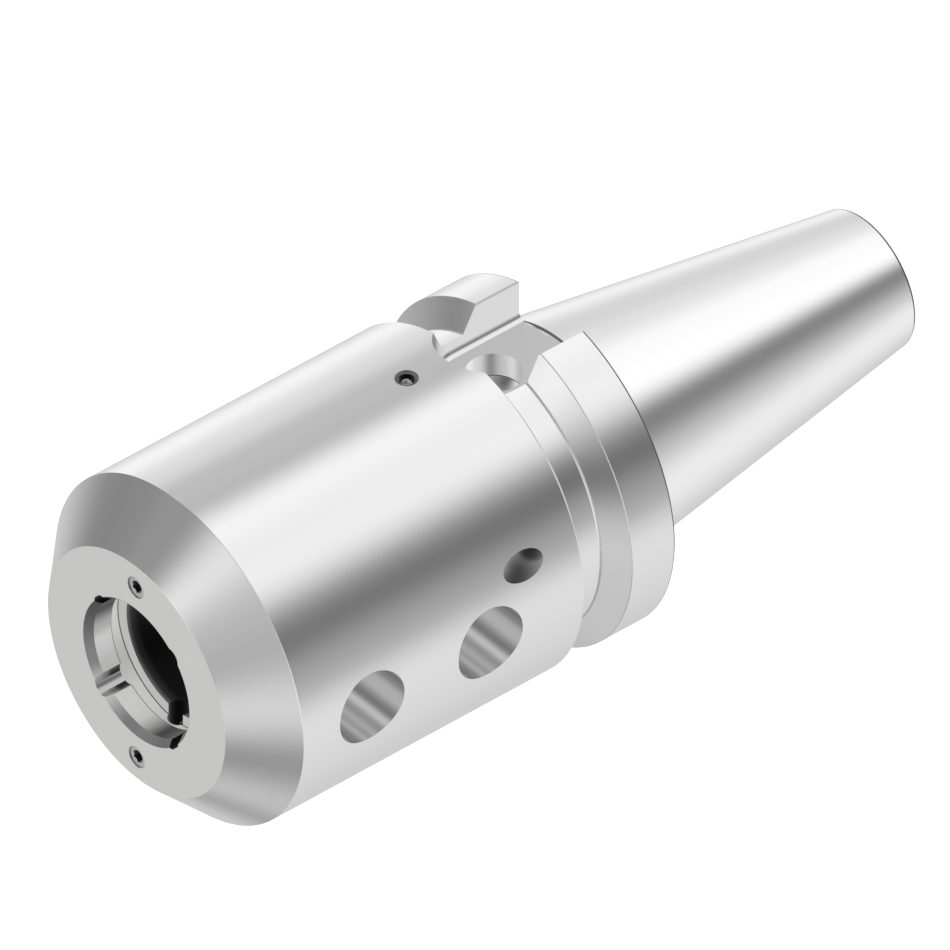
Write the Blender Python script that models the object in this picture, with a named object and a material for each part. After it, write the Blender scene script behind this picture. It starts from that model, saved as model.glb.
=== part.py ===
"""Side-lock endmill holder with a 7:24 spindle taper, for a 25 mm tool shank.

Metres, +Z up. The axis lies along X: the nose points to -X, the taper to +X.
The origin is the gauge line centre, where the taper is 44.45 mm across.
Clamping screws face -Y, drive keyways face +Z and -Z.
"""

import math

import bmesh
import bpy
from mathutils import Matrix, Vector

MM = 0.001

# Taper and pull stud end. Stations are distances ahead of the gauge line, towards the nose.
GAUGE_RADIUS = 22.225 * MM
TAPER_RATIO = 7 / 48
TAPER_END = -65.4 / 22.225 * GAUGE_RADIUS
TAPER_SMALL_RADIUS = GAUGE_RADIUS + TAPER_END * TAPER_RATIO
TAPER_CHAMFER = 0.6 * MM
STUD_PILOT_RADIUS = 0.67 * TAPER_SMALL_RADIUS
STUD_PILOT_DEPTH = 5.0 * MM
STUD_HOLE_RADIUS = STUD_PILOT_RADIUS - 1.6 * MM
STUD_HOLE_DEPTH = 42.0 / 65.4 * -TAPER_END
COOLANT_RADIUS = STUD_HOLE_RADIUS - 1.9 * MM

# Neck and flange.
NECK_RADIUS = GAUGE_RADIUS - 0.725 * MM
HUB_RADIUS = GAUGE_RADIUS + 0.975 * MM
HUB_START = 1.5 * MM
FLANGE_START = 2.0 * MM
BODY_RADIUS = 31.5 * MM
EDGE_BREAK = 0.2 * MM

# V-groove for the tool changer.
GROOVE_REAR = 11.2 * MM
GROOVE_FRONT = 21.46 * MM
GROOVE_MIDDLE = (GROOVE_REAR + GROOVE_FRONT) / 2
GROOVE_DEPTH = 4.8 * MM
GROOVE_HALF_ANGLE = math.radians(30.0)
GROOVE_ROOT_RADIUS = BODY_RADIUS - GROOVE_DEPTH
GROOVE_ROOT_REAR = GROOVE_REAR + GROOVE_DEPTH * math.tan(GROOVE_HALF_ANGLE)
GROOVE_FILLET = 0.8 * MM

# Drive keyways and the drilled dimple in the floor of the upper one.
KEY_HALF_WIDTH = 8.05 * MM
KEY_FLOOR = GAUGE_RADIUS + 0.375 * MM
KEY_CENTRE = GROOVE_MIDDLE + 0.47 * MM
KEY_CORNER = 1.3 * MM
KEY_BREAK = 0.35 * MM
DIMPLE_STATION = GROOVE_MIDDLE - 2.23 * MM
DIMPLE_RADIUS = 4.9 * MM
DIMPLE_FLOOR = KEY_FLOOR - 4.6 * MM

# Nose and tool bore. The bevel takes 9/19 of the wall round the bore.
NOSE = 89.8 * MM
BORE_RADIUS = 12.5 * MM
BORE_DEPTH = 60.0 * MM
BORE_BOTTOM = NOSE - BORE_DEPTH
NOSE_BEVEL = 9 / 19 * (BODY_RADIUS - BORE_RADIUS)
MOUTH_RADIUS = BORE_RADIUS + 0.95 * MM
MOUTH_DEPTH = 1.4 * MM
RING_FRONT = NOSE - 5.23 * MM
RING_REAR = RING_FRONT - 2.99 * MM
RING_RADIUS = BORE_RADIUS + 2.0 * MM

# Coolant jets along the bore, and the drilled channels that feed them.
JET_ANGLES = (45, 135, 225, 315)
JET_RADIUS = 2.0 * MM
JET_OFFSET = BORE_RADIUS - 0.4 * MM
CHANNEL_OFFSET = (MOUTH_RADIUS + BODY_RADIUS - NOSE_BEVEL) / 2
CHANNEL_RADIUS = 1.65 * MM
INLET_STATION = RING_REAR - 0.78 * MM
INLET_RADIUS = 2.0 * MM
CROSS_STATION = 32.68 * MM
CROSS_RADIUS = 1.5 * MM
CHANNEL_END = CROSS_STATION - CROSS_RADIUS - 0.5 * MM

# Plug screws, four alike: two in the nose face, two across the body.
PLUG_RADIUS = 1.8 * MM
PLUG_LENGTH = 4.6 * MM
PLUG_RECESS = 0.35 * MM
PLUG_SOCKET = 2.0 * MM
PLUG_SOCKET_DEPTH = 1.8 * MM
PLUG_CHAMFER = 0.3 * MM
PLUG_HOLE_RADIUS = PLUG_RADIUS + 0.23 * MM
PLUG_HOLE_DEPTH = PLUG_RECESS + PLUG_LENGTH + 0.65 * MM

# Clamping screws, in threaded holes that run into the bore.
CLAMP_STATIONS = (NOSE - 23.51 * MM, NOSE - 48.54 * MM)
CLAMP_HOLE_RADIUS = 6.8 * MM
CLAMP_GAP = 0.3 * MM
CLAMP_RADIUS = CLAMP_HOLE_RADIUS - CLAMP_GAP
CLAMP_INNER = BORE_RADIUS + CLAMP_GAP
CLAMP_LENGTH = 0.46 * (BODY_RADIUS - CLAMP_INNER)
CLAMP_SOCKET = 8.0 * MM
CLAMP_SOCKET_DEPTH = 0.58 * CLAMP_LENGTH
CLAMP_CHAMFER = 0.8 * MM

# Slanted blind drilling in the side, just ahead of the flange.
SLANT_STATION = 32.8 * MM
SLANT_ANGLE = math.radians(20.0)
SLANT_TILT = math.radians(50.0)
SLANT_RADIUS = 2.65 * MM
SLANT_DEPTH = 20.0 * MM

BODY_STEPS = 96
DRILL_POINT = math.radians(59.0)
# Facets of drilled holes start off the main planes, so that crossing holes share no edge line.
FACET_TURN = math.radians(4.0)
CLEAR = 8.0 * MM


def clear_scene():
    for obj in list(bpy.data.objects):
        bpy.data.objects.remove(obj)


def steel(name, colour, roughness):
    material = bpy.data.materials.new(name)
    material.use_nodes = True
    shader = material.node_tree.nodes["Principled BSDF"]
    shader.inputs["Base Color"].default_value = (*colour, 1.0)
    shader.inputs["Metallic"].default_value = 1.0
    shader.inputs["Roughness"].default_value = roughness
    return material


def new_object(name, mesh, material=None):
    obj = bpy.data.objects.new(name, mesh)
    bpy.context.scene.collection.objects.link(obj)
    if material:
        mesh.materials.append(material)
    return obj


def mesh_from(name, shape):
    """Turns a bmesh into a closed mesh that faces out."""
    shape.normal_update()
    bmesh.ops.recalc_face_normals(shape, faces=shape.faces)
    mesh = bpy.data.meshes.new(name)
    shape.to_mesh(mesh)
    shape.free()
    return mesh


def turned(name, profile, steps, material=None):
    """Revolves a closed outline of (station, radius) pairs about X, or one that starts and ends on the axis."""
    shape = bmesh.new()
    verts = [shape.verts.new((-station, 0.0, radius)) for station, radius in profile]
    for start, end in zip(verts, verts[1:] + verts[:1]):
        if start.co.z > 0 or end.co.z > 0:
            shape.edges.new((start, end))
    bmesh.ops.spin(
        shape, geom=shape.verts[:] + shape.edges[:], axis=(1, 0, 0), cent=(0, 0, 0),
        angle=math.tau, steps=steps, use_merge=True,
    )
    bmesh.ops.remove_doubles(shape, verts=shape.verts, dist=1e-7)
    for face in shape.faces:
        face.smooth = True
    return new_object(name, mesh_from(name, shape), material)


def aim(direction, origin):
    """The matrix that carries local +Z to a direction, from an origin."""
    return Matrix.Translation(origin) @ direction.to_track_quat("Z", "Y").to_matrix().to_4x4()


def rod(name, origin, direction, radius, start, end, steps, pointed=False):
    """A round cutter from start to end along a direction, with a drill point past its end if asked."""
    shape = bmesh.new()
    outline = [(0.0, start), (radius, start), (radius, end)]
    outline.append((0.0, end + (radius / math.tan(DRILL_POINT) if pointed else 0.0)))
    verts = [shape.verts.new((r, 0.0, z)) for r, z in outline]
    for pair in zip(verts, verts[1:]):
        shape.edges.new(pair)
    bmesh.ops.spin(
        shape, geom=shape.verts[:] + shape.edges[:], axis=(0, 0, 1), cent=(0, 0, 0),
        angle=math.tau, steps=steps, use_merge=True,
    )
    bmesh.ops.remove_doubles(shape, verts=shape.verts, dist=1e-7)
    shape.transform(aim(Vector(direction), Vector(origin)) @ Matrix.Rotation(FACET_TURN, 4, "Z"))
    return cutter(name, shape)


def cutter(name, shape):
    obj = new_object(name, mesh_from(name, shape))
    obj.display_type = "WIRE"
    obj.hide_render = True
    return obj


def cut(obj, tools):
    """Cuts all the tools out of the object in one step, so that crossing holes meet exactly."""
    group = bpy.data.collections.new(f"cutters_{obj.name}")
    bpy.context.scene.collection.children.link(group)
    for tool in tools:
        bpy.context.scene.collection.objects.unlink(tool)
        group.objects.link(tool)
    boolean = obj.modifiers.new("cut", "BOOLEAN")
    boolean.operation = "DIFFERENCE"
    boolean.solver = "EXACT"
    boolean.operand_type = "COLLECTION"
    boolean.collection = group


def outer_profile():
    """From the taper's small end to the nose face."""
    points = [
        (TAPER_END, TAPER_SMALL_RADIUS - TAPER_CHAMFER),
        (TAPER_END + TAPER_CHAMFER, TAPER_SMALL_RADIUS + TAPER_CHAMFER * TAPER_RATIO),
        (0.0, GAUGE_RADIUS),
        (0.0, NECK_RADIUS),
        (HUB_START, NECK_RADIUS),
        (HUB_START, HUB_RADIUS),
        (FLANGE_START, HUB_RADIUS),
        (FLANGE_START, BODY_RADIUS - EDGE_BREAK),
        (FLANGE_START + EDGE_BREAK, BODY_RADIUS),
    ]
    points += groove_profile()
    points += [
        (NOSE - NOSE_BEVEL, BODY_RADIUS),
        (NOSE, BODY_RADIUS - NOSE_BEVEL),
    ]
    return points


def groove_profile():
    """The V-groove, with broken rims and a fillet at each root corner."""
    flank = math.pi / 2 - GROOVE_HALF_ANGLE
    reach = GROOVE_FILLET * math.tan(flank / 2)
    rear = [
        (GROOVE_REAR - EDGE_BREAK / 2, BODY_RADIUS),
        (
            GROOVE_REAR + EDGE_BREAK / 2 * math.cos(flank),
            BODY_RADIUS - EDGE_BREAK / 2 * math.sin(flank),
        ),
    ]
    centre = (GROOVE_ROOT_REAR + reach, GROOVE_ROOT_RADIUS + GROOVE_FILLET)
    for step in range(4):
        angle = math.pi + (math.pi / 2 - flank) + flank * step / 3
        rear.append((
            centre[0] + GROOVE_FILLET * math.cos(angle),
            centre[1] + GROOVE_FILLET * math.sin(angle),
        ))
    front = [(2 * GROOVE_MIDDLE - station, radius) for station, radius in reversed(rear)]
    return rear + front


def inner_profile():
    """From the nose face down the tool bore and out of the pull stud hole."""
    stud_end = TAPER_END + STUD_HOLE_DEPTH
    return [
        (NOSE, MOUTH_RADIUS),
        (NOSE - MOUTH_DEPTH, BORE_RADIUS),
        (RING_FRONT, BORE_RADIUS),
        (RING_FRONT, RING_RADIUS),
        (RING_REAR, RING_RADIUS),
        (RING_REAR, BORE_RADIUS),
        (BORE_BOTTOM, BORE_RADIUS),
        (BORE_BOTTOM, COOLANT_RADIUS),
        (stud_end + (STUD_HOLE_RADIUS - COOLANT_RADIUS) / math.tan(DRILL_POINT), COOLANT_RADIUS),
        (stud_end, STUD_HOLE_RADIUS),
        (TAPER_END + STUD_PILOT_DEPTH, STUD_HOLE_RADIUS),
        (TAPER_END + STUD_PILOT_DEPTH, STUD_PILOT_RADIUS),
        (TAPER_END + EDGE_BREAK, STUD_PILOT_RADIUS),
        (TAPER_END, STUD_PILOT_RADIUS + EDGE_BREAK),
    ]


def keyway_cutter(name, side):
    """An end-milled slot that is open at the flange rear, with rounded floor corners."""
    shape = bmesh.new()
    outline = [(CLEAR, -KEY_HALF_WIDTH), (CLEAR, KEY_HALF_WIDTH)]
    for step in range(25):
        angle = math.pi / 2 + math.pi * step / 24
        outline.append((
            -KEY_CENTRE + KEY_HALF_WIDTH * math.cos(angle),
            KEY_HALF_WIDTH * math.sin(angle),
        ))
    floor = shape.faces.new([shape.verts.new((x, y, side * KEY_FLOOR)) for x, y in outline])
    rim = floor.edges[:]
    raised = bmesh.ops.extrude_face_region(shape, geom=[floor], use_keep_orig=True)["geom"]
    lift = Vector((0, 0, side * (BODY_RADIUS + CLEAR - KEY_FLOOR)))
    bmesh.ops.translate(shape, verts=[v for v in raised if isinstance(v, bmesh.types.BMVert)], vec=lift)
    bmesh.ops.recalc_face_normals(shape, faces=shape.faces)
    bmesh.ops.bevel(
        shape, geom=rim, offset=KEY_CORNER, offset_type="OFFSET", segments=4, profile=0.5,
        affect="EDGES", clamp_overlap=True,
    )
    return cutter(name, shape)


def key_break_cutter(name, side, hand):
    """A three-sided bar that breaks one long edge of a keyway behind the V-groove."""
    edge_z = math.sqrt(BODY_RADIUS**2 - KEY_HALF_WIDTH**2)
    low, wide = edge_z - KEY_BREAK, CLEAR
    corners = [
        (KEY_HALF_WIDTH - KEY_BREAK, low - KEY_BREAK),
        (KEY_HALF_WIDTH + wide, low + wide),
        (KEY_HALF_WIDTH - KEY_BREAK, low + wide),
    ]
    shape = bmesh.new()
    near = [shape.verts.new((CLEAR, hand * y, side * z)) for y, z in corners]
    far = [shape.verts.new((-KEY_CENTRE, hand * y, side * z)) for y, z in corners]
    shape.faces.new(near)
    shape.faces.new(far)
    for i in range(3):
        shape.faces.new((near[i - 1], near[i], far[i], far[i - 1]))
    return cutter(name, shape)


def keyway_cutters():
    tools = []
    for label, side in (("upper", 1), ("lower", -1)):
        tools.append(keyway_cutter(f"cut_keyway_{label}", side))
        for edge, hand in (("near", -1), ("far", 1)):
            tools.append(key_break_cutter(f"cut_key_edge_{label}_{edge}", side, hand))
    tools.append(rod(
        "cut_dimple", (-DIMPLE_STATION, 0, 0), (0, 0, -1), DIMPLE_RADIUS,
        -BODY_RADIUS - CLEAR, -DIMPLE_FLOOR, 40, pointed=True,
    ))
    return tools


def clamp_hole_cutters():
    return [
        rod(
            f"cut_clamp_{label}", (-station, 0, 0), (0, -1, 0), CLAMP_HOLE_RADIUS,
            BORE_RADIUS / 2, BODY_RADIUS + CLEAR, 48,
        )
        for label, station in zip(("front", "rear"), CLAMP_STATIONS)
    ]


def slant_axis():
    """Mouth centre and inward direction of the slanted drilling."""
    outward = Vector((0, -math.cos(SLANT_ANGLE), math.sin(SLANT_ANGLE)))
    mouth = outward * BODY_RADIUS - Vector((SLANT_STATION, 0, 0))
    inward = Vector((math.sin(SLANT_TILT), 0, 0)) - outward * math.cos(SLANT_TILT)
    return mouth, inward


def slant_cutter():
    mouth, inward = slant_axis()
    return rod("cut_slant", mouth, inward, SLANT_RADIUS, -CLEAR, SLANT_DEPTH, 28, pointed=True)


def coolant_cutters():
    tools = []
    for angle in JET_ANGLES:
        turn = math.radians(angle)
        centre = (0, -JET_OFFSET * math.cos(turn), JET_OFFSET * math.sin(turn))
        tools.append(rod(
            f"cut_jet_{angle}", centre, (-1, 0, 0), JET_RADIUS,
            (RING_FRONT + RING_REAR) / 2, NOSE + CLEAR, 24,
        ))
    for label, side in (("upper", 1), ("lower", -1)):
        along = (0, 0, side * CHANNEL_OFFSET)
        tools.append(rod(
            f"cut_channel_{label}", along, (1, 0, 0), CHANNEL_RADIUS,
            -NOSE + PLUG_HOLE_DEPTH - EDGE_BREAK, -CHANNEL_END, 20,
        ))
        tools.append(rod(
            f"cut_nose_seat_{label}", along, (1, 0, 0), PLUG_HOLE_RADIUS,
            -NOSE - CLEAR, -NOSE + PLUG_HOLE_DEPTH, 24,
        ))
        tools.append(rod(
            f"cut_inlet_{label}", (-INLET_STATION, 0, 0), (0, 0, side), INLET_RADIUS,
            BORE_RADIUS / 2, CHANNEL_OFFSET + CHANNEL_RADIUS / 2, 24,
        ))
        tools.append(rod(
            f"cut_cross_{label}", (-CROSS_STATION, 0, 0), (0, 0, side), CROSS_RADIUS,
            BORE_RADIUS / 2, BODY_RADIUS - PLUG_HOLE_DEPTH + EDGE_BREAK, 20,
        ))
        tools.append(rod(
            f"cut_cross_seat_{label}", (-CROSS_STATION, 0, 0), (0, 0, side), PLUG_HOLE_RADIUS,
            BODY_RADIUS - PLUG_HOLE_DEPTH, BODY_RADIUS + CLEAR, 24,
        ))
    return tools


def build_body(material):
    body = turned("holder_body", outer_profile() + inner_profile(), BODY_STEPS, material)
    cut(body, keyway_cutters() + clamp_hole_cutters() + [slant_cutter()] + coolant_cutters())


def socket_screw(name, origin, outward, radius, length, socket, depth, chamfer, steps, material):
    """A set screw with a hexagon socket. The origin is its inner end."""
    shape = bmesh.new()
    outline = [
        (0.0, 0.0), (radius - chamfer, 0.0), (radius, chamfer),
        (radius, length - chamfer / 2), (radius - chamfer / 2, length), (0.0, length),
    ]
    verts = [shape.verts.new((r, 0.0, z)) for r, z in outline]
    for pair in zip(verts, verts[1:]):
        shape.edges.new(pair)
    bmesh.ops.spin(
        shape, geom=shape.verts[:] + shape.edges[:], axis=(0, 0, 1), cent=(0, 0, 0),
        angle=math.tau, steps=steps, use_merge=True,
    )
    bmesh.ops.remove_doubles(shape, verts=shape.verts, dist=1e-7)
    placing = aim(Vector(outward), Vector(origin))
    shape.transform(placing)
    screw = new_object(name, mesh_from(name, shape), material)

    key = bmesh.new()
    corner = socket / math.sqrt(3)
    bmesh.ops.create_cone(
        key, cap_ends=True, segments=6, radius1=corner, radius2=corner, depth=depth + CLEAR,
        matrix=Matrix.Translation((0, 0, length + (CLEAR - depth) / 2)),
    )
    key.transform(placing)
    cut(screw, [cutter(f"cut_socket_{name}", key)])


def build_clamp_screws(material):
    for label, station in zip(("front", "rear"), CLAMP_STATIONS):
        socket_screw(
            f"clamp_screw_{label}", (-station, -CLAMP_INNER, 0), (0, -1, 0), CLAMP_RADIUS,
            CLAMP_LENGTH, CLAMP_SOCKET, CLAMP_SOCKET_DEPTH, CLAMP_CHAMFER, 48, material,
        )


def build_plugs(material):
    for label, side in (("upper", 1), ("lower", -1)):
        nose_end = -NOSE + PLUG_RECESS + PLUG_LENGTH
        socket_screw(
            f"jet_plug_{label}", (nose_end, 0, side * CHANNEL_OFFSET), (-1, 0, 0), PLUG_RADIUS,
            PLUG_LENGTH, PLUG_SOCKET, PLUG_SOCKET_DEPTH, PLUG_CHAMFER, 24, material,
        )
        inner = BODY_RADIUS - PLUG_RECESS - PLUG_LENGTH
        socket_screw(
            f"cross_plug_{label}", (-CROSS_STATION, 0, side * inner), (0, 0, side), PLUG_RADIUS,
            PLUG_LENGTH, PLUG_SOCKET, PLUG_SOCKET_DEPTH, PLUG_CHAMFER, 24, material,
        )


def main():
    clear_scene()
    build_body(steel("ground_steel", (0.56, 0.57, 0.58), 0.3))
    build_clamp_screws(steel("clamp_screw_steel", (0.09, 0.09, 0.095), 0.4))
    build_plugs(steel("plug_screw_steel", (0.20, 0.20, 0.21), 0.4))


main()
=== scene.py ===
"""Studio scene for a side-lock endmill holder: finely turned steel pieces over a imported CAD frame.

Run as a script in Blender 4.5. Lengths are metres, and the axis of the holder lies along X.
"""

import math

import bmesh
import bpy
import numpy as np
from mathutils import Matrix, Vector


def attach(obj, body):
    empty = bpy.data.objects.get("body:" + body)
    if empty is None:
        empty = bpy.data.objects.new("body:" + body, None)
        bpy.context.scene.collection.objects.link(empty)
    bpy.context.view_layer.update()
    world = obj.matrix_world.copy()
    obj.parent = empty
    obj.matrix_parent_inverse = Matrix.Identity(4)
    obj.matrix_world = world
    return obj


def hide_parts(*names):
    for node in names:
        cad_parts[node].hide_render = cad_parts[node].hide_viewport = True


bl_info = {
    "name": "Endmill holder",
    "version": (1, 0, 0),
    "blender": (4, 5, 0),
    "location": "3D View > Sidebar > Holder",
    "description": "Builds a side-lock endmill holder with its screws and a plain studio",
    "category": "Object",
}

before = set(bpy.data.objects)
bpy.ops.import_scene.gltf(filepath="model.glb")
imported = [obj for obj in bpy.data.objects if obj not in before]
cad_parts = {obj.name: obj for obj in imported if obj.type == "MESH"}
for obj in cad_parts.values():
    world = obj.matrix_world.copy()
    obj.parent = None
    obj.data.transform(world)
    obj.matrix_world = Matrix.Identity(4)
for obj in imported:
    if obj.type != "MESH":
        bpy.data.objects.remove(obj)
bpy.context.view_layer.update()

MM = 0.001
DRILL_POINT = math.radians(59.0)  # half of the angle of a drill's point
CLEAR = 8.0  # how far a tool stands out of the face that it cuts, in mm

# Sizes in mm. A station runs along the axis, ahead of the gauge line. An offset is from the axis.
BODY_RADIUS = 31.5
BODY_SIDES = 240
KEY_FRONT, KEY_BACK, KEY_NOSE = 24.85, -5.0, 16.8
KEY_HALF, KEY_FLOOR, KEY_TOP = 8.05, 22.6, 40.0
KEY_FILLET, KEY_EASE = 1.3, 0.35
DIMPLE_STATION, DIMPLE_RADIUS, DIMPLE_FLOOR = 14.1, 4.9, 18.0
DIMPLE_LINE_RADIUS, DIMPLE_LINE_FLOOR, DIMPLE_LINE_TOP = 4.97, 17.98, 18.12
CLAMP_STATIONS = (("front", 66.29), ("rear", 41.26))
CLAMP_HOLE_RADIUS = 6.8
CLAMP_INNER = 12.8
JET_OFFSET, JET_RADIUS, JET_INNER = 12.1, 2.0, 83.1
CHANNEL_OFFSET, CHANNEL_RADIUS = 17.98, 1.65
INLET_STATION, INLET_RADIUS = 80.8, 2.0
CROSS_STATION, CROSS_RADIUS = 32.68, 1.5
PLUG_RADIUS, PLUG_LENGTH, PLUG_HOLE_RADIUS = 1.97, 4.6, 2.03
JET_PLUG_INNER, CROSS_PLUG_INNER = 84.95, 26.55
EASE_STEPS = 4  # facets of each eased corner of the outline
OUT_OF_NOSE, OUT_OF_BODY = 98, 40  # where tools from the front and from the side stand clear

# The slanted hole: the middle of its mouth and the way that it runs in.
SLANT_STATION, SLANT_RADIUS, SLANT_DEPTH = 32.8, 2.65, 20
SLANT_RISE, SLANT_TILT = math.radians(20), math.radians(50)
SLANT_OUT = Vector((0, -math.cos(SLANT_RISE), math.sin(SLANT_RISE)))
SLANT_MOUTH = SLANT_OUT * BODY_RADIUS - Vector((SLANT_STATION, 0, 0))
SLANT_WAY = Vector((math.sin(SLANT_TILT), 0, 0)) - SLANT_OUT * math.cos(SLANT_TILT)
# The side of a clamping hole's wall that is painted in shade at its two ends.
SHADED_SIDE = (0.794, 0.0, 0.608)

# Turned outline of the body: station ahead of the gauge line, radius and edge easing, all in mm.
OUTSIDE = (
    (-65.4, 12.4, 0.0),
    (-65.3, 12.6, 0.0),
    (-65.1, 12.731, 0.0),
    (-64.93, 12.756, 0.0),
    (0.0, 22.225, 0.0),
    (0.0, 21.5, 0.0),
    (1.5, 21.5, 0.15),
    (1.5, 23.2, 0.1),
    (2.0, 23.2, 0.1),
    (2.0, 31.25, 0.0),
    (2.25, 31.5, 0.0),
    (2.37, 31.5, 0.0),
    (11.2, 31.5, 0.2),
    (13.97, 26.7, 0.5),
    (18.69, 26.7, 0.5),
    (21.46, 31.5, 0.35),
    (80.8, 31.5, 0.12),
    (89.8, 22.5, 0.12),
)
INSIDE = (
    (89.8, 13.45, 0.08),
    (88.4, 12.5, 0.1),
    (84.57, 12.5, 0.25),
    (84.57, 14.5, 0.0),
    (81.78, 14.5, 0.0),
    (81.58, 14.5, 0.0),
    (81.58, 12.5, 0.08),
    (29.8, 12.5, 0.3),
    (29.8, 5.0, 0.2),
    (-22.26, 5.0, 0.0),
    (-23.4, 6.9, 0.0),
    (-60.4, 6.9, 0.1),
    (-60.4, 8.5, 0.1),
    (-65.4, 8.5, 0.2),
)

# Painted reflection and shade round the axis, by degrees from the front towards the top: the tones
# of the bore's land and of its mouth's chamfer.
LAND_PAINTED_TONES = (
    (-180, "#BEBEBD"), (-170, "#DCDCDB"), (-98, "#DCDCDB"), (-72, "#404040"), (-45, "#484848"),
    (0, "#8C8C8C"), (120, "#484848"), (156, "#484848"), (180, "#BEBEBD"),
)
CHAMFER_PAINTED_TONES = (
    (-180, "#888888"), (-156, "#909090"), (-132, "#F0F0F0"), (-100, "#A8A8A8"), (-60, "#989898"),
    (0, "#808080"), (130, "#585858"), (180, "#888888"),
)

# The finishes by name, once main() has made them.
STEELS = {}


def srgb(code):
    """An sRGB hex colour as the linear numbers that shaders take."""
    parts = [int(code[i:i + 2], 16) / 255 for i in (1, 3, 5)]
    return [p / 12.92 if p <= 0.04045 else ((p + 0.055) / 1.055) ** 2.4 for p in parts] + [1.0]


def add_node(tree, kind, settings=None, links=None, **attributes):
    """Adds one node, sets its attributes and input values, and links sockets into its inputs."""
    node = tree.nodes.new(kind)
    for name, value in attributes.items():
        setattr(node, name, value)
    for key, value in (settings or {}).items():
        node.inputs[key].default_value = value
    for key, socket in (links or {}).items():
        tree.links.new(socket, node.inputs[key])
    return node


def new_material(name):
    material = bpy.data.materials.new(name)
    material.use_nodes = True
    material.node_tree.nodes.clear()
    return material, material.node_tree


def turning_marks(tree, pitch, swing):
    """A value that varies along the axis and the radius, and hardly at all round the axis."""
    place = add_node(tree, "ShaderNodeTexCoord").outputs["Object"]
    split = add_node(tree, "ShaderNodeSeparateXYZ", links={0: place})
    flat = add_node(
        tree, "ShaderNodeVectorMath", {1: (0, 1, 1)}, {0: place}, operation="MULTIPLY",
    )
    radius = add_node(tree, "ShaderNodeVectorMath", links={0: flat.outputs[0]}, operation="LENGTH")
    turn = add_node(
        tree, "ShaderNodeMath", links={0: split.outputs["Z"], 1: split.outputs["Y"]},
        operation="ARCTAN2",
    )
    along = add_node(
        tree, "ShaderNodeMath", {1: 1 / pitch}, {0: split.outputs["X"]}, operation="MULTIPLY",
    )
    out = add_node(
        tree, "ShaderNodeMath", {1: 1 / pitch}, {0: radius.outputs["Value"]}, operation="MULTIPLY",
    )
    around = add_node(
        tree, "ShaderNodeMath", {1: swing}, {0: turn.outputs[0]}, operation="MULTIPLY",
    )
    joined = add_node(
        tree, "ShaderNodeCombineXYZ",
        links={"X": along.outputs[0], "Y": out.outputs[0], "Z": around.outputs[0]},
    )
    return add_node(
        tree, "ShaderNodeTexNoise", {"Scale": 1.0, "Detail": 2.0, "Roughness": 0.6},
        {"Vector": joined.outputs[0]},
    ).outputs["Fac"]


def toned(tree, kind, stops):
    """A colour that changes with place.

    It runs along the axis, by station in mm, round it, by degrees, down the slanted hole, by depth
    in mm, or across the wall of a clamping hole, by how squarely the wall faces its shaded side. It
    paints shade and reflection.
    """
    source = add_node(tree, "ShaderNodeTexCoord")
    place = source.outputs["Normal" if kind == "across" else "Object"]
    split = add_node(tree, "ShaderNodeSeparateXYZ", links={0: place})
    if kind == "along":
        value, spots = split.outputs["X"], [-spot * MM for spot, _ in stops]
    elif kind in ("across", "down"):
        way = SHADED_SIDE if kind == "across" else tuple(SLANT_WAY)
        value = add_node(
            tree, "ShaderNodeVectorMath", {1: way}, {0: place}, operation="DOT_PRODUCT",
        ).outputs["Value"]
        spots = [spot for spot, _ in stops]
        if kind == "across":
            value = add_node(
                tree, "ShaderNodeMath", links={0: value}, operation="ABSOLUTE",
            ).outputs[0]
        else:
            spots = [(SLANT_MOUTH.dot(SLANT_WAY) + spot) * MM for spot in spots]
    else:
        front = add_node(
            tree, "ShaderNodeMath", {1: -1.0}, {0: split.outputs["Y"]}, operation="MULTIPLY",
        )
        turn = add_node(
            tree, "ShaderNodeMath", links={0: split.outputs["Z"], 1: front.outputs[0]},
            operation="ARCTAN2",
        )
        value, spots = turn.outputs[0], [math.radians(spot) for spot, _ in stops]
    share = add_node(
        tree, "ShaderNodeMapRange", {"From Min": spots[0], "From Max": spots[-1]}, {"Value": value},
    )
    ramp = add_node(tree, "ShaderNodeValToRGB", links={"Fac": share.outputs[0]})
    ramp.color_ramp.interpolation = "B_SPLINE" if kind == "down" else "EASE"
    for index, (spot, (_, colour)) in enumerate(zip(spots, stops)):
        where = (spot - spots[0]) / (spots[-1] - spots[0])
        if index < 2:
            stop = ramp.color_ramp.elements[index]
            stop.position = where
        else:
            stop = ramp.color_ramp.elements.new(where)
        stop.color = srgb(colour)
    return ramp.outputs["Color"]


def metal(name, colour, roughness, spread, marks, depth, tones=None):
    """A metal whose tooling marks move its roughness a little and raise a faint bump.

    Where tones are given, as a kind and stops, they stand for its plain colour.
    """
    material, tree = new_material(name)
    value = marks(tree)
    rough = add_node(
        tree, "ShaderNodeMapRange",
        {"To Min": roughness - spread, "To Max": roughness + spread}, {"Value": value},
    )
    bump = add_node(
        tree, "ShaderNodeBump", {"Strength": 1.0, "Distance": depth}, {"Height": value},
    )
    shader = add_node(
        tree, "ShaderNodeBsdfPrincipled", {"Base Color": srgb(colour), "Metallic": 1.0},
        {"Roughness": rough.outputs[0], "Normal": bump.outputs[0]},
    )
    if tones:
        tree.links.new(toned(tree, *tones), shader.inputs["Base Color"])
    add_node(tree, "ShaderNodeOutputMaterial", links={"Surface": shader.outputs[0]})
    return material


def grain(size):
    """Marks with no direction, for milled, drilled and oxidised faces."""
    def build(tree):
        place = add_node(tree, "ShaderNodeTexCoord").outputs["Object"]
        return add_node(
            tree, "ShaderNodeTexNoise", {"Scale": 1 / size, "Detail": 3.0}, {"Vector": place},
        ).outputs["Fac"]
    return build


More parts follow.
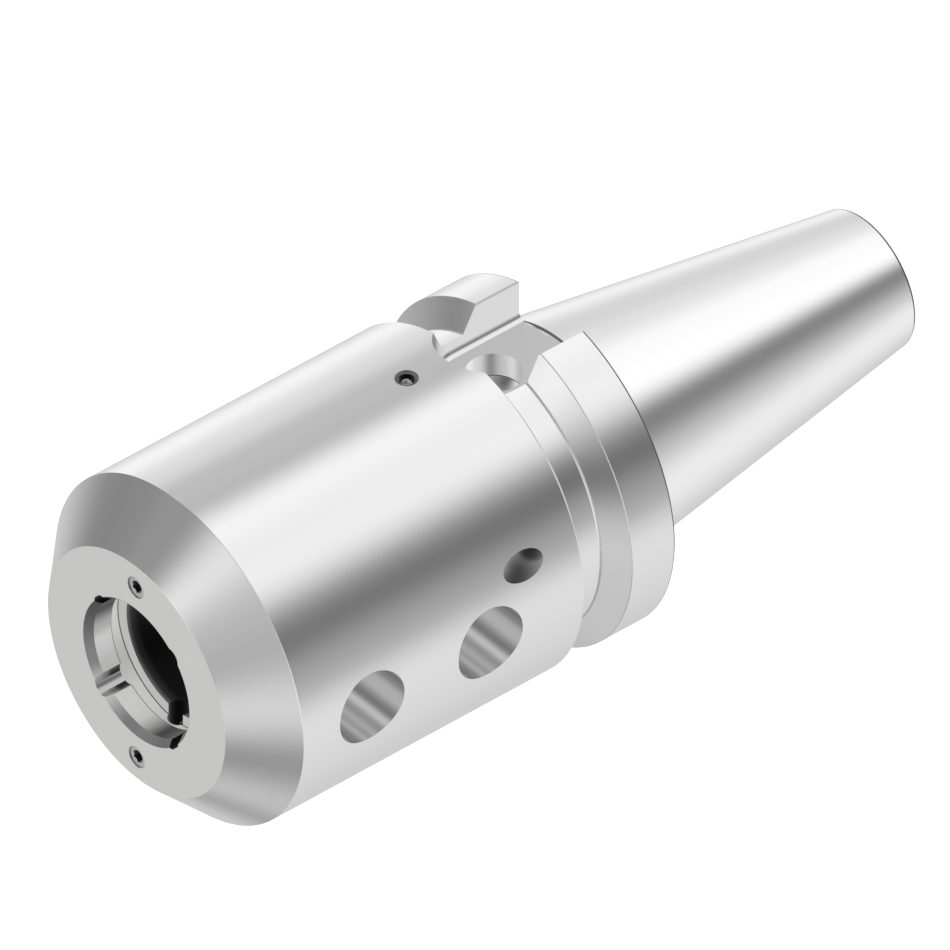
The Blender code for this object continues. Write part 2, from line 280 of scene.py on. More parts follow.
def make_steels(sizes):
    """The finishes of the holder, some with painted shade and reflection. Real marks are finer than
    a pixel, so these are coarser.
    """
    def rings(tree):
        return turning_marks(tree, 0.3 * MM, 1.5)

    colour, rough = sizes.steel_colour, sizes.steel_roughness
    return {
        # Hardened steel, ground on the taper and finish-turned on the body: a soft satin sheen.
        "ground": metal("satin_ground_steel", colour, rough, 0.02, rings, 0.2e-6),
        # The same steel faced on a lathe: flatter and a little duller.
        "faced": metal("lathe_faced_steel", "#E7E7E5", 0.3, 0.03, rings, 0.3e-6),
        # End-milled keyways: bright, with fine marks in no single direction.
        "milled": metal("end_milled_steel", "#E4E4E4", 0.2, 0.04, grain(0.4 * MM), 0.2e-6),
        # Honed ring of the bore mouth: even and dull.
        "honed": metal("honed_bore_steel", "#DCDCDB", 0.5, 0.05, rings, 0.2e-6),
        # Its land, with painted reflection and shade round the axis: bright at one side, darker
        # round the rest.
        "land_painted_light": metal(
            "land_painted_light_steel", "#DCDCDB", 0.5, 0.05, rings, 0.2e-6, ("round", LAND_PAINTED_TONES),
        ),
        # Small radii in and beside the groove, out of the grinding wheel's reach: pale and dull.
        "blended": metal("turned_radius_steel", "#DADADA", 0.5, 0.05, rings, 0.2e-6),
        # Outermost walls of the coolant jets: smooth, and darker than the body.
        "bored": metal("bored_hole_steel", "#BABABB", 0.19, 0.03, grain(0.4 * MM), 0.2e-6),
        # Holes bored for the clamping screws: smooth, with painted shade that darkens their walls at
        # two ends.
        "clamped": metal(
            "clamp_hole_painted_shade_steel", "#BABABB", 0.19, 0.03, grain(0.4 * MM), 0.2e-6,
            ("across", (
                (0.0, "#BCBCBD"), (0.62, "#BCBCBD"), (0.84, "#929293"), (0.94, "#5C5C5D"),
                (1.0, "#1C1C1D"),
            )),
        ),
        # Nose ends of the keyways, where the end mill stopped: painted shade that darkens towards
        # the end wall.
        "nosed": metal(
            "keyway_nose_painted_shade_steel", "#8A8A8B", 0.25, 0.04, grain(0.4 * MM), 0.2e-6,
            ("along", ((24.8, "#262627"), (21.6, "#4C4C4D"), (19.0, "#C8C8C8"), (16.8, "#E4E4E4"))),
        ),
        # Coolant jets: painted shade, light at the face and dark towards their inner end.
        "jets": metal(
            "jet_painted_shade_steel", "#A0A0A1", 0.3, 0.03, grain(0.4 * MM), 0.2e-6,
            ("along", ((88.9, "#9C9C9D"), (87.6, "#7A7A7B"), (86.2, "#2C2C2D"), (85.0, "#2C2C2D"))),
        ),
        # Slanted hole: marks, and painted shade and reflection in bands down it, nearly black at its
        # depth.
        "slant_painted_shade": metal(
            "slant_hole_painted_shade_steel", "#48484A", 0.3, 0.05, grain(0.3 * MM), 0.4e-6,
            ("down", (
                (-1.0, "#3A3A3C"), (2.2, "#3E3E40"), (4.3, "#525254"), (6.4, "#6C6C6E"),
                (7.3, "#4C4C4E"), (8.2, "#1C1C1D"), (9.5, "#0C0C0D"),
            )),
        ),
        # Small drilled holes and plug sleeves, a dark grey; the same grey paints shade lines on the
        # body.
        "drilled": metal("dark_drilled_and_shade_line_steel", "#6C6C6E", 0.3, 0.05, grain(0.3 * MM), 0.4e-6),
        # Chamfer of the bore mouth: grey, with painted reflection round the axis that is bright at
        # one side.
        "chamfer_painted_light": metal(
            "chamfer_painted_light_steel", "#A6A6A6", 0.55, 0.04, rings, 0.2e-6, ("round", CHAMFER_PAINTED_TONES),
        ),
        # Broken edges and corners painted dark: thin lines of painted shade.
        "scale": metal("painted_shade_line_steel", "#4A4A4B", 0.4, 0.05, grain(0.3 * MM), 0.3e-6),
        # Deep bore: painted shade, near black, that lightens towards its mouth.
        "bore_painted_shade": metal(
            "bore_painted_shade_steel", "#121213", 0.4, 0.05, rings, 0.2e-6,
            ("along", ((81.6, "#666667"), (80.4, "#2A2A2B"), (79.0, "#121213"))),
        ),
        # Sockets and deep drillings: painted shade, as dark as the bore.
        "deep": metal("recess_painted_shade_steel", "#0E0E0F", 0.4, 0.05, grain(0.25 * MM), 0.2e-6),
        # Alloy steel with black oxide.
        "oxide": metal("black_oxide_steel", "#3A3A3C", 0.42, 0.06, grain(0.25 * MM), 0.6e-6),
        # Ball of a sealing plug, a darker grey than the body.
        "ball": metal("dull_ball_steel", "#9A9A9C", 0.28, 0.04, grain(0.2 * MM), 0.3e-6),
        # Small plug screws, bright ground faces with a satin sheen.
        "bright": metal("bright_screw_steel", "#C4C4C4", 0.25, 0.04, grain(0.2 * MM), 0.3e-6),
    }


def deselect():
    if bpy.context.object and bpy.context.object.mode != "OBJECT":
        bpy.ops.object.mode_set(mode="OBJECT")
    bpy.ops.object.select_all(action="DESELECT")


def only(obj):
    deselect()
    obj.select_set(True)
    bpy.context.view_layer.objects.active = obj


def settle(obj):
    """Puts the object at the origin, with its place in its mesh."""
    only(obj)
    bpy.ops.object.transform_apply(location=True, rotation=True, scale=True)


def give(obj, finish):
    obj.data.materials.clear()
    obj.data.materials.append(STEELS[finish])


def eased(points, steps):
    """Rounds each corner of a closed outline by its easing radius."""
    out = []
    for i, (station, radius, easing) in enumerate(points):
        here = Vector((station, radius))
        back = (Vector(points[i - 1][:2]) - here).normalized()
        on = (Vector(points[(i + 1) % len(points)][:2]) - here).normalized()
        half = back.angle(on) / 2
        if easing <= 0 or half > math.radians(89):
            out.append(tuple(here))
            continue
        reach = easing / math.tan(half)
        centre = here + (back + on).normalized() * easing / math.sin(half)
        first, last = here + back * reach - centre, here + on * reach - centre
        sweep = first.angle_signed(last)
        for step in range(steps + 1):
            arm = first.copy()
            arm.rotate(Matrix.Rotation(-sweep * step / steps, 2))
            out.append(tuple(centre + arm))
    return out


def turned(name, rings, sides):
    """Turns a closed solid about X: a circle is extruded from ring to ring, then bridged."""
    deselect()
    x, r = -rings[0][0] * MM, rings[0][1] * MM
    bpy.ops.mesh.primitive_circle_add(
        vertices=sides, radius=r, location=(x, 0, 0), rotation=(0, math.pi / 2, 0),
    )
    obj = bpy.context.object
    obj.name = obj.data.name = name
    settle(obj)
    bpy.ops.object.mode_set(mode="EDIT")
    bpy.ops.mesh.select_all(action="SELECT")
    first_x, first_r = x, r
    for station, radius in rings[1:]:
        nx, nr = -station * MM, radius * MM
        bpy.ops.mesh.extrude_region()
        bpy.ops.transform.resize(value=(1, nr / r, nr / r), center_override=(x, 0, 0))
        bpy.ops.transform.translate(value=(nx - x, 0, 0))
        x, r = nx, nr
    shape = bmesh.from_edit_mesh(obj.data)
    for vert in shape.verts:
        far = math.hypot(vert.co.y, vert.co.z)
        if abs(vert.co.x - first_x) < 1e-6 and abs(far - first_r) < 1e-6:
            vert.select = True
    shape.select_flush(True)
    bmesh.update_edit_mesh(obj.data)
    bpy.ops.mesh.bridge_edge_loops()
    bpy.ops.mesh.select_all(action="SELECT")
    bpy.ops.mesh.normals_make_consistent(inside=False)
    bpy.ops.object.mode_set(mode="OBJECT")
    return obj


def drill(origin, direction, radius, start, end, sides, pointed=False, finish="milled"):
    """A round cutter in mm, with a drill point past its end if asked."""
    deselect()
    way = Vector(direction).normalized()
    middle = Vector(origin) + way * (start + end) / 2
    bpy.ops.mesh.primitive_cylinder_add(
        vertices=sides, radius=radius * MM, depth=(end - start) * MM, location=middle * MM,
        rotation=way.to_track_quat("Z", "Y").to_euler(),
    )
    tool = bpy.context.object
    settle(tool)
    if pointed:
        bpy.ops.object.mode_set(mode="EDIT")
        bpy.ops.mesh.select_all(action="DESELECT")
        shape = bmesh.from_edit_mesh(tool.data)
        for face in shape.faces:
            face.select = face.normal.dot(way) > 0.99
        bmesh.update_edit_mesh(tool.data)
        bpy.ops.mesh.extrude_region()
        bpy.ops.transform.translate(value=way * radius * MM / math.tan(DRILL_POINT))
        bpy.ops.mesh.merge(type="CENTER")
        bpy.ops.object.mode_set(mode="OBJECT")
    give(tool, finish)
    return tool


def slot_cutter(side):
    """A keyway cutter: a box with its nose rounded by the end mill and its floor filleted."""
    deselect()
    bpy.ops.mesh.primitive_cube_add(
        size=1,
        location=(-(KEY_BACK + KEY_FRONT) / 2 * MM, 0, side * (KEY_FLOOR + KEY_TOP) / 2 * MM),
        scale=((KEY_FRONT - KEY_BACK) * MM, 2 * KEY_HALF * MM, (KEY_TOP - KEY_FLOOR) * MM),
    )
    tool = bpy.context.object
    settle(tool)

    def upright_at_nose(a, b):
        return max(a.x, b.x) < -(KEY_FRONT - 1) * MM and abs(a.z - b.z) > 5 * MM

    def on_floor(a, b):
        return max(side * a.z, side * b.z) < (KEY_FLOOR + 0.1) * MM

    for pick, offset, segments in (
        (upright_at_nose, KEY_HALF * MM * 0.9999, 40),
        (on_floor, KEY_FILLET * MM, 6),
    ):
        bpy.ops.object.mode_set(mode="EDIT")
        bpy.ops.mesh.select_mode(type="EDGE")
        bpy.ops.mesh.select_all(action="DESELECT")
        shape = bmesh.from_edit_mesh(tool.data)
        for edge in shape.edges:
            edge.select = pick(edge.verts[0].co, edge.verts[1].co)
        bmesh.update_edit_mesh(tool.data)
        bpy.ops.mesh.bevel(offset=offset, segments=segments, profile=0.5, affect="EDGES")
        bpy.ops.object.mode_set(mode="OBJECT")
    give(tool, "milled")
    # The keyway's nose end is painted darker: painted shade.
    paint(tool, "nosed", lambda s, r, n: s > KEY_NOSE and abs(n.z) < 0.9)
    return tool


def edge_cutter(side, hand):
    """A square bar, turned on its edge, that breaks one long edge of a keyway."""
    deselect()
    long, thick, middle = 22, 8.0, 6.0
    edge = math.sqrt(BODY_RADIUS**2 - KEY_HALF**2)
    height = edge + thick / math.sqrt(2) - KEY_EASE
    bpy.ops.mesh.primitive_cube_add(
        size=1, scale=(long * MM, thick * MM, thick * MM), rotation=(math.pi / 4, 0, 0),
        location=(-middle * MM, hand * KEY_HALF * MM, side * height * MM),
    )
    tool = bpy.context.object
    settle(tool)
    give(tool, "milled")
    return tool


def cut(body, tools):
    """Cuts all the tools out of the body in one step. The cut faces keep each tool's finish."""
    group = bpy.data.collections.new("cutters")
    bpy.context.scene.collection.children.link(group)
    for tool in tools:
        for home in list(tool.users_collection):
            home.objects.unlink(tool)
        group.objects.link(tool)
    only(body)
    boolean = body.modifiers.new("cut", "BOOLEAN")
    boolean.operation, boolean.solver, boolean.material_mode = "DIFFERENCE", "EXACT", "TRANSFER"
    boolean.operand_type, boolean.collection = "COLLECTION", group
    bpy.ops.object.modifier_apply(modifier=boolean.name)
    for tool in tools:
        bpy.data.objects.remove(tool)
    bpy.data.collections.remove(group)


def drop_folds(obj):
    """Deletes the slivers that a cut can leave back to back on the same points."""
    only(obj)
    bpy.ops.object.mode_set(mode="EDIT")
    bpy.ops.mesh.select_mode(type="FACE")
    bpy.ops.mesh.select_all(action="DESELECT")
    shape = bmesh.from_edit_mesh(obj.data)
    stacks = {}
    for face in shape.faces:
        stacks.setdefault(frozenset(face.verts), []).append(face)
    for stack in stacks.values():
        for face in stack:
            face.select = len(stack) > 1
    bmesh.update_edit_mesh(obj.data)
    bpy.ops.mesh.delete(type="FACE")
    bpy.ops.object.mode_set(mode="OBJECT")


def smooth(obj, angle=30):
    only(obj)
    bpy.ops.object.shade_smooth_by_angle(angle=math.radians(angle))


def weigh_normals(obj):
    """Lets large flat faces keep their own normal where a fillet runs into them."""
    only(obj)
    weighted = obj.modifiers.new("weighted", "WEIGHTED_NORMAL")
    weighted.mode, weighted.weight, weighted.keep_sharp = "FACE_AREA", 80, True
    bpy.ops.object.modifier_apply(modifier=weighted.name)


def true_normals(obj, rings):
    """Gives the turned faces the exact normals of their outline, so that cuts leave the sheen.

    Each face is matched to the stretch of the outline that it lies on and faces with. Stretches
    share a normal at their joint, unless the joint is sharp, and a short one takes a long one's.
    """
    sharp, far_longer = math.cos(math.radians(28)), 3
    flat_enough, facing_enough, near_enough, far_off = 0.995, 0.99, 0.03, 9.0
    mesh = obj.data
    count = len(rings)
    points = np.array(rings)
    ends = np.roll(points, -1, 0)
    along = ends - points
    length = np.linalg.norm(along, axis=1)
    across = np.stack([along[:, 1], -along[:, 0]], 1) / length[:, None]
    lead, tail = across.copy(), across.copy()
    for i in range(count):
        j = (i + 1) % count
        if across[i] @ across[j] < sharp:
            continue
        if length[i] > far_longer * length[j]:
            joint = across[i]
        elif length[j] > far_longer * length[i]:
            joint = across[j]
        else:
            joint = across[i] + across[j]
            joint = joint / np.linalg.norm(joint)
        tail[i], lead[j] = joint, joint
    co = np.empty(len(mesh.vertices) * 3)
    mesh.vertices.foreach_get("co", co)
    co = co.reshape(-1, 3) / MM
    flat = np.stack([-co[:, 0], np.hypot(co[:, 1], co[:, 2])], 1)
    radial = co[:, 1:] / np.maximum(flat[:, 1:], 1e-9)
    centre = np.empty(len(mesh.polygons) * 3)
    normal = np.empty(len(mesh.polygons) * 3)
    mesh.polygons.foreach_get("center", centre)
    mesh.polygons.foreach_get("normal", normal)
    centre, normal = centre.reshape(-1, 3) / MM, normal.reshape(-1, 3)
    corners = np.empty(len(mesh.loops) * 3)
    mesh.corner_normals.foreach_get("vector", corners)
    loops = corners.reshape(-1, 3).tolist()
    for poly, middle, facing in zip(mesh.polygons, centre, normal):
        ids = list(poly.vertices)
        spots = flat[ids]
        out = middle[1:] / max(np.hypot(*middle[1:]), 1e-9)
        tilt = np.array([-facing[0], facing[1:] @ out])
        offset = spots[:, None, :] - points[None]
        t = np.clip((offset * along).sum(2) / length**2, 0, 1)
        gap = np.linalg.norm(offset - t[:, :, None] * along, axis=2).max(0)
        match = np.abs(across @ tilt)
        if np.linalg.norm(tilt) < flat_enough:
            continue
        gap[match < facing_enough] = far_off
        best = int(gap.argmin())
        if gap[best] > near_enough:
            continue
        sign = 1.0 if across[best] @ tilt > 0 else -1.0
        for place, vert in enumerate(ids):
            share = t[place, best]
            n = (lead[best] * (1 - share) + tail[best] * share) * sign
            n = n / np.linalg.norm(n)
            loops[poly.loop_start + place] = (
                -n[0], n[1] * radial[vert, 0], n[1] * radial[vert, 1],
            )
    mesh.normals_split_custom_set(loops)


def paint(obj, finish, pick):
    """Gives a finish to the faces that a test on their centre, in mm, picks."""
    names = [m.name for m in obj.data.materials]
    if STEELS[finish].name not in names:
        obj.data.materials.append(STEELS[finish])
        names.append(STEELS[finish].name)
    slot = names.index(STEELS[finish].name)
    for poly in obj.data.polygons:
        x, y, z = poly.center / MM
        if pick(-x, math.hypot(y, z), poly.normal):
            poly.material_index = slot


def countersink(origin, direction, radius, depth, sides, finish):
    """A cone that eases the mouth of a hole, in mm."""
    deselect()
    way = Vector(direction)
    bpy.ops.mesh.primitive_cone_add(
        vertices=sides, radius1=(radius - depth) * MM, radius2=(radius + 3 * depth) * MM,
        depth=4 * depth * MM, location=(Vector(origin) + way * depth) * MM,
        rotation=way.to_track_quat("Z", "Y").to_euler(),
    )
    tool = bpy.context.object
    settle(tool)
    give(tool, finish)
    return tool


def eased_pin(radius, length, ease, sides, finish):
    """A pin on the Z axis with its inner end at the origin and both ends eased, in mm."""
    deselect()
    bpy.ops.mesh.primitive_cylinder_add(
        vertices=sides, radius=radius * MM, depth=length * MM, location=(0, 0, length / 2 * MM),
    )
    pin = bpy.context.object
    settle(pin)
    bpy.ops.object.mode_set(mode="EDIT")
    bpy.ops.mesh.select_mode(type="FACE")
    bpy.ops.mesh.select_all(action="DESELECT")
    shape = bmesh.from_edit_mesh(pin.data)
    for face in shape.faces:
        face.select = abs(face.normal.z) > 0.9
    bmesh.update_edit_mesh(pin.data)
    bpy.ops.mesh.bevel(offset=ease * MM, segments=2, profile=0.6, affect="EDGES")
    bpy.ops.object.mode_set(mode="OBJECT")
    give(pin, finish)
    return pin


def socket_screw(radius, length, socket, depth, ease, sides, finish):
    """A set screw with a hexagon socket, whose mouth is countersunk."""
    screw = eased_pin(radius, length, ease, sides, finish)
    corner = socket / math.sqrt(3)
    # The socket is painted near black: painted shade.
    key = drill((0, 0, length + CLEAR), (0, 0, -1), corner, 0, CLEAR + depth, 6, True, "deep")
    mouth = countersink((0, 0, length), (0, 0, 1), corner * 0.98, 0.05 * socket, 32, finish)
    cut(screw, [key, mouth])
    smooth(screw)
    return screw


def ball_plug(radius, length, pocket, depth, ball, sunk):
    """A sleeve with a round pocket, in which the ball that seals it shows as a dome."""
    plug = eased_pin(radius, length, 0.12, 40, "drilled")
    hollow = drill((0, 0, length + CLEAR), (0, 0, -1), pocket, 0, CLEAR + depth, 40, False, "deep")
    deselect()
    bpy.ops.mesh.primitive_uv_sphere_add(
        segments=32, ring_count=20, radius=ball * MM, location=(0, 0, (length - sunk) * MM),
    )
    dome = bpy.context.object
    settle(dome)
    give(dome, "ball")
    cut(hollow, [dome])
    cut(plug, [hollow])
    smooth(plug)
    return plug


def place_copy(first, name, origin, outward):
    """A copy of a screw with a mesh of its own, its inner end at an origin in mm."""
    only(first)
    bpy.ops.object.duplicate(linked=False)
    screw = bpy.context.object
    screw.name = screw.data.name = name
    screw.rotation_mode = "QUATERNION"
    screw.rotation_quaternion = Vector(outward).to_track_quat("Z", "Y")
    screw.location = Vector(origin) * MM
    settle(screw)
    return screw


def finish_piece(piece, node):
    """Puts a piece in its node's place. Steel reflects the studio alone, not its neighbours."""
    piece.visible_glossy = False
    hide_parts(node)
    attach(piece, "root")


def keyway_cutters():
    """The end mills for both keyways, and the tools that break their long edges."""
    tools = []
    for side in (1, -1):
        tools += [slot_cutter(side), edge_cutter(side, 1), edge_cutter(side, -1)]
    return tools


def hole_cutters():
    """Every drill: dimple, clamping holes, slanted hole, coolant jets, channels and plug seats."""
    dimple, ahead = (-DIMPLE_STATION, 0, 0), (-1, 0, 0)
    tools = [
        drill(dimple, (0, 0, -1), DIMPLE_RADIUS, -OUT_OF_BODY, -DIMPLE_FLOOR, 64, True),
        # A thin ring where the dimple's wall meets its point, painted dark: a line of painted shade.
        drill(
            dimple, (0, 0, -1), DIMPLE_LINE_RADIUS, -DIMPLE_LINE_TOP, -DIMPLE_LINE_FLOOR, 64,
            False, "scale",
        ),
    ]
    for _, station in CLAMP_STATIONS:
        # The walls of the clamping holes carry painted shade at two ends.
        tools.append(drill(
            (-station, 0, 0), (0, -1, 0), CLAMP_HOLE_RADIUS, 6, OUT_OF_BODY, 96, False, "clamped",
        ))
    # The slanted hole is painted in bands of shade and reflection down its depth.
    tools.append(drill(
        SLANT_MOUTH, SLANT_WAY, SLANT_RADIUS, -CLEAR, SLANT_DEPTH, 48, True, "slant_painted_shade",
    ))
    for angle in (45, 135, 225, 315):
        turn = math.radians(angle)
        centre = (0, -JET_OFFSET * math.cos(turn), JET_OFFSET * math.sin(turn))
        # Two jets get painted shade towards their inner end; the other two are painted near black.
        finish = "jets" if angle in (45, 225) else "deep"
        jet = drill(centre, ahead, JET_RADIUS, JET_INNER, OUT_OF_NOSE, 40, False, finish)
        paint(jet, "bored", lambda s, r, n: r > 13.93)
        tools.append(jet)
    for side in (1, -1):
        line, up = (0, 0, CHANNEL_OFFSET * side), (0, 0, side)
        inlet, cross = (-INLET_STATION, 0, 0), (-CROSS_STATION, 0, 0)
        # The channels, inlets and cross holes are painted near black inside: painted shade.
        tools += [
            drill(line, ahead, CHANNEL_RADIUS, 30.7, 84.4, 32, False, "deep"),
            drill(line, ahead, PLUG_HOLE_RADIUS, 84.2, OUT_OF_NOSE, 40, False, "drilled"),
            drill(inlet, up, INLET_RADIUS, 6, 18.8, 40, False, "deep"),
            drill(cross, up, CROSS_RADIUS, 6, 26.1, 32, False, "deep"),
            drill(cross, up, PLUG_HOLE_RADIUS, 25.9, OUT_OF_BODY, 40, False, "drilled"),
        ]
    return tools


def build_body():
    """Turns the body, gives each turned face its finish or painted shade, then mills and drills it.
    """
    rings = eased(OUTSIDE + INSIDE, EASE_STEPS)
    body = turned("machined_body", rings, BODY_SIDES)
    give(body, "ground")
    # The front face, the bore mouth with its recess, and the land in it.
    paint(body, "faced", lambda s, r, n: s > 89.7 and n.x < -0.99)
    paint(body, "honed", lambda s, r, n: 81.5 < s < 88.38 and r < 14.6)
    # The land's tones are painted reflection and shade.
    paint(body, "land_painted_light", lambda s, r, n: 84.8 < s < 88.38 and r < 12.6)
    # The radii of the groove.
    for edge, reach in ((11.2, 0.06), (13.97, 0.145), (18.69, 0.145), (21.46, 0.1)):
        paint(body, "blended", lambda s, r, n: abs(s - edge) < reach and r > 26.6)
    # The chamfer of the mouth, with painted reflection, and the lip behind the land, painted dark as
    # shade.
    paint(body, "chamfer_painted_light", lambda s, r, n: s > 88.3 and r < 13.5)
    paint(body, "drilled", lambda s, r, n: 84.5 < s < 84.84 and r < 12.8)
    # Painted shade lines: in the recess, at the back of the flange, at the small end and at the
    # gauge line.
    paint(body, "scale", lambda s, r, n: 81.6 < s < 81.77 and 14.4 < r < 14.6)
    paint(body, "scale", lambda s, r, n: 2.0 < s < 2.36 and r > 31.2)
    paint(body, "scale", lambda s, r, n: s < -64.95 and r > 12.4)
    paint(body, "drilled", lambda s, r, n: abs(s) < 0.01 and 21.5 < r < 22.2)
    # The bore behind the recess, down to the pull stud's hole, in painted shade.
    paint(body, "bore_painted_shade", lambda s, r, n: -60 < s < 81.5 and r < 12.6)
    for tool in keyway_cutters():
        cut(body, [tool])
    cut(body, hole_cutters())
    drop_folds(body)
    smooth(body)
    weigh_normals(body)
    true_normals(body, rings)
    finish_piece(body, "holder_body")


class HolderSizes(bpy.types.PropertyGroup):
    """The colour and roughness of the holder's steel, which a user may change."""

    steel_colour: bpy.props.StringProperty(
        name="Steel colour", description="sRGB hex colour of the ground steel", default="#E7E7E7",
    )
    steel_roughness: bpy.props.FloatProperty(
        name="Steel roughness", description="Roughness of the ground steel", default=0.13,
        min=0.05, max=0.6,
    )


class StageSizes(bpy.types.PropertyGroup):
    """The floor's drop and the camera's distance in the studio."""

    floor_drop: bpy.props.FloatProperty(
        name="Floor drop", description="Height of the holder's axis over the floor",
        default=0.30, min=0.04, unit="LENGTH",
    )
    camera_distance: bpy.props.FloatProperty(
        name="Camera distance", description="From the camera to the holder", default=6.873,
        min=0.5, unit="LENGTH",
    )


class HOLDER_OT_body(bpy.types.Operator):
    """Turn, mill and drill the holder body"""

    bl_idname = "holder.body"
    bl_label = "Holder body"

    def execute(self, context):
        build_body()
        return {"FINISHED"}


class HOLDER_OT_clamp_screws(bpy.types.Operator):
    """Make the two clamping screws"""

    bl_idname = "holder.clamp_screws"
    bl_label = "Clamping screws"

    def execute(self, context):
        first = socket_screw(
            radius=6.5, length=8.7, socket=8.0, depth=5.0, ease=0.6, sides=64, finish="oxide",
        )
        for label, station in CLAMP_STATIONS:
            inner_end = (-station, -CLAMP_INNER, 0)
            screw = place_copy(first, f"oxidised_clamp_screw_{label}", inner_end, (0, -1, 0))
            finish_piece(screw, f"clamp_screw_{label}")
        bpy.data.objects.remove(first)
        return {"FINISHED"}


class HOLDER_OT_plug_screws(bpy.types.Operator):
    """Make the four plug screws of the coolant channels"""

    bl_idname = "holder.plug_screws"
    bl_label = "Plug screws"

    def execute(self, context):
        screw = socket_screw(
            PLUG_RADIUS, PLUG_LENGTH, socket=2.15, depth=1.8, ease=0.18, sides=40, finish="bright",
        )
        sealed = ball_plug(
            PLUG_RADIUS, PLUG_LENGTH, pocket=1.45, depth=2.1, ball=0.95, sunk=1.05,
        )
        for label, side in (("upper", 1), ("lower", -1)):
            for first, look, kind, origin, outward in (
                (
                    screw, "socket", "jet_plug",
                    (-JET_PLUG_INNER, 0, CHANNEL_OFFSET * side), (-1, 0, 0),
                ),
                (
                    sealed, "ball", "cross_plug",
                    (-CROSS_STATION, 0, CROSS_PLUG_INNER * side), (0, 0, side),
                ),
            ):
                plug = place_copy(first, f"{look}_{kind}_{label}", origin, outward)
                finish_piece(plug, f"{kind}_{label}")
        bpy.data.objects.remove(screw)
        bpy.data.objects.remove(sealed)
        return {"FINISHED"}


# Studio round an even room: soft bright panels, and dark flags that shade their own part of it.
# Each has its elevation and azimuth in degrees, its tightness and its strength. Azimuth 0 lies
# behind the small end of the taper, and the camera stands at 230.
PANELS = (
    (53, 30, 12, 0.95),
    (40, 334, 9, 0.70),
    (36, 93, 12, 0.95),
    (35, 57, 16, 0.95),
    (44, 124, 45, 0.94),
    (24, 173, 32, 0.85),
    (-4, 61, 14, 0.74),
    (-11, 154, 11, 0.95),
    (-11, 259, 7, 0.95),
    (-23, 342, 8, 0.55),
)
FLAGS = (
    (44, 91, 2, -0.95),
    (49, 43, 42, -0.73),
    (35, 58, 43, -0.74),
    (28, 316, 45, -0.69),
    (15, 308, 30, -0.69),
    (-5, 196, 30, -0.94),
    (-7, 301, 28, -0.40),
    (-12, 136, 26, -0.55),
    (-49, 249, 15, -0.93),
    (-78, 67, 45, -0.26),
)
ROOM_LEVEL = 0.72
DARKEST = 0.02


def build_world():
    """A grey room with soft panels and flags, which light the steel. The camera sees white."""
    world = bpy.data.worlds.new("studio_room")
    bpy.context.scene.world = world
    world.use_nodes = True
    tree = world.node_tree
    tree.nodes.clear()
    way = add_node(tree, "ShaderNodeTexCoord").outputs["Generated"]
    total = None
    for elevation, azimuth, tightness, strength in PANELS + FLAGS:
        up, turn = math.radians(elevation), math.radians(azimuth)
        centre = (math.cos(up) * math.cos(turn), math.cos(up) * math.sin(turn), math.sin(up))
        near = add_node(
            tree, "ShaderNodeVectorMath", {1: centre}, {0: way}, operation="DOT_PRODUCT",
        )
        fall = add_node(
            tree, "ShaderNodeMath", {1: tightness, 2: -tightness}, {0: near.outputs["Value"]},
            operation="MULTIPLY_ADD",
        )
        glow = add_node(tree, "ShaderNodeMath", links={0: fall.outputs[0]}, operation="EXPONENT")
        total = add_node(
            tree, "ShaderNodeMath", {1: strength, 2: ROOM_LEVEL},
            {0: glow.outputs[0], **({2: total} if total else {})}, operation="MULTIPLY_ADD",
        ).outputs[0]
    level = add_node(tree, "ShaderNodeMath", {1: DARKEST}, {0: total}, operation="MAXIMUM")
    path = add_node(tree, "ShaderNodeLightPath")
    seen = add_node(
        tree, "ShaderNodeMath",
        links={0: path.outputs["Is Camera Ray"], 1: path.outputs["Is Transmission Ray"]},
        operation="MAXIMUM",
    )
    mixed = add_node(
        tree, "ShaderNodeMix", {"B": 1.0}, {"Factor": seen.outputs[0], "A": level.outputs[0]},
        data_type="FLOAT",
    )
    back = add_node(
        tree, "ShaderNodeBackground", {"Color": (1, 1, 1, 1)}, {"Strength": mixed.outputs[0]},
    )
    add_node(tree, "ShaderNodeOutputWorld", links={"Surface": back.outputs[0]})


def build_floor(drop):
    """A white floor under the holder, lifted to pure white where it is seen."""
    deselect()
    bpy.ops.mesh.primitive_plane_add(size=6.0, location=(0, 0, -drop))
    floor = bpy.context.object
    floor.name = floor.data.name = "floor"
    settle(floor)
    floor.visible_glossy = False
    material, tree = new_material("white_floor")
    path = add_node(tree, "ShaderNodeLightPath")
    seen = path.outputs["Is Camera Ray"]
    for kind in ("Is Glossy Ray", "Is Transmission Ray"):
        seen = add_node(
            tree, "ShaderNodeMath", links={0: seen, 1: path.outputs[kind]}, operation="MAXIMUM",
        ).outputs[0]
    lift = add_node(tree, "ShaderNodeMath", {1: 0.6}, {0: seen}, operation="MULTIPLY")
    matt = add_node(tree, "ShaderNodeBsdfDiffuse", {"Color": srgb("#F0F0F0")})
    glow = add_node(tree, "ShaderNodeEmission", links={"Strength": lift.outputs[0]})
    both = add_node(tree, "ShaderNodeAddShader", links={0: matt.outputs[0], 1: glow.outputs[0]})
    add_node(tree, "ShaderNodeOutputMaterial", links={"Surface": both.outputs[0]})
    floor.data.materials.append(material)


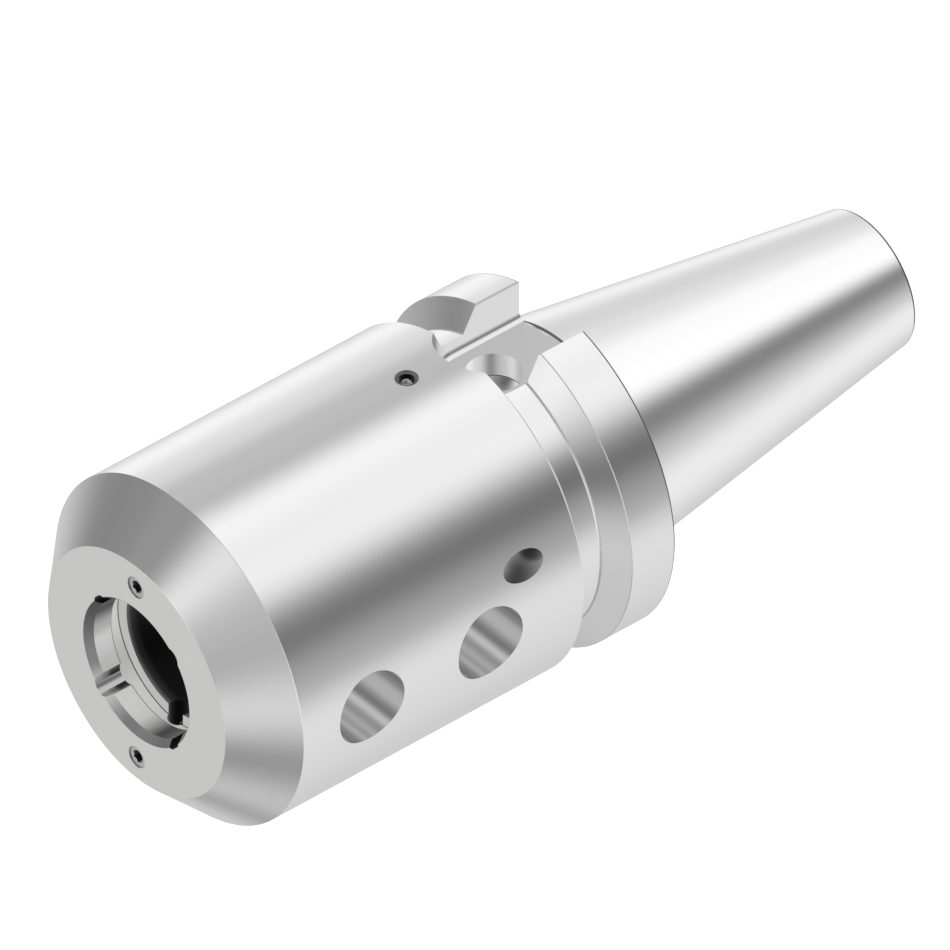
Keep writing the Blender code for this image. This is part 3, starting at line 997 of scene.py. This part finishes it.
def build_camera(distance):
    """A long lens, 40 degrees above the nose and turned 50 degrees from the axis."""
    forward = Vector((0.4924, 0.5868, -0.6428)).normalized()
    target = Vector((-18.17, 0.0, 3.13)) * MM
    camera = bpy.data.objects.new("camera", bpy.data.cameras.new("camera"))
    bpy.context.scene.collection.objects.link(camera)
    camera.data.lens = 1600.0
    camera.data.sensor_width = 36.0
    camera.data.clip_end = 20.0
    camera.location = target - forward * distance
    camera.rotation_mode = "QUATERNION"
    camera.rotation_quaternion = (-forward).to_track_quat("Z", "Y")
    bpy.context.scene.camera = camera


class HOLDER_OT_stage(bpy.types.Operator):
    """Set up the room light, the floor and the camera"""

    bl_idname = "holder.stage"
    bl_label = "Studio"

    def execute(self, context):
        sizes = context.scene.holder_stage
        build_world()
        build_floor(sizes.floor_drop)
        build_camera(sizes.camera_distance)
        context.scene.view_settings.view_transform = "Standard"
        return {"FINISHED"}


class HOLDER_PT_panel(bpy.types.Panel):
    """Lists the holder's pieces and sizes"""

    bl_label = "Endmill holder"
    bl_idname = "HOLDER_PT_panel"
    bl_space_type = "VIEW_3D"
    bl_region_type = "UI"
    bl_category = "Holder"

    def draw(self, context):
        layout = self.layout
        layout.prop(context.scene.holder_sizes, "steel_colour")
        layout.prop(context.scene.holder_sizes, "steel_roughness")
        for operator in STEPS:
            layout.operator(operator.bl_idname)
        layout.prop(context.scene.holder_stage, "floor_drop")
        layout.prop(context.scene.holder_stage, "camera_distance")


STEPS = (HOLDER_OT_body, HOLDER_OT_clamp_screws, HOLDER_OT_plug_screws, HOLDER_OT_stage)
CLASSES = (HolderSizes, StageSizes, *STEPS, HOLDER_PT_panel)


def register():
    for item in CLASSES:
        bpy.utils.register_class(item)
    bpy.types.Scene.holder_sizes = bpy.props.PointerProperty(type=HolderSizes)
    bpy.types.Scene.holder_stage = bpy.props.PointerProperty(type=StageSizes)


def unregister():
    del bpy.types.Scene.holder_stage
    del bpy.types.Scene.holder_sizes
    for item in reversed(CLASSES):
        bpy.utils.unregister_class(item)


def main():
    register()
    STEELS.update(make_steels(bpy.context.scene.holder_sizes))
    bpy.ops.holder.body()
    bpy.ops.holder.clamp_screws()
    bpy.ops.holder.plug_screws()
    bpy.ops.holder.stage()


if __name__ == "__main__":
    main()
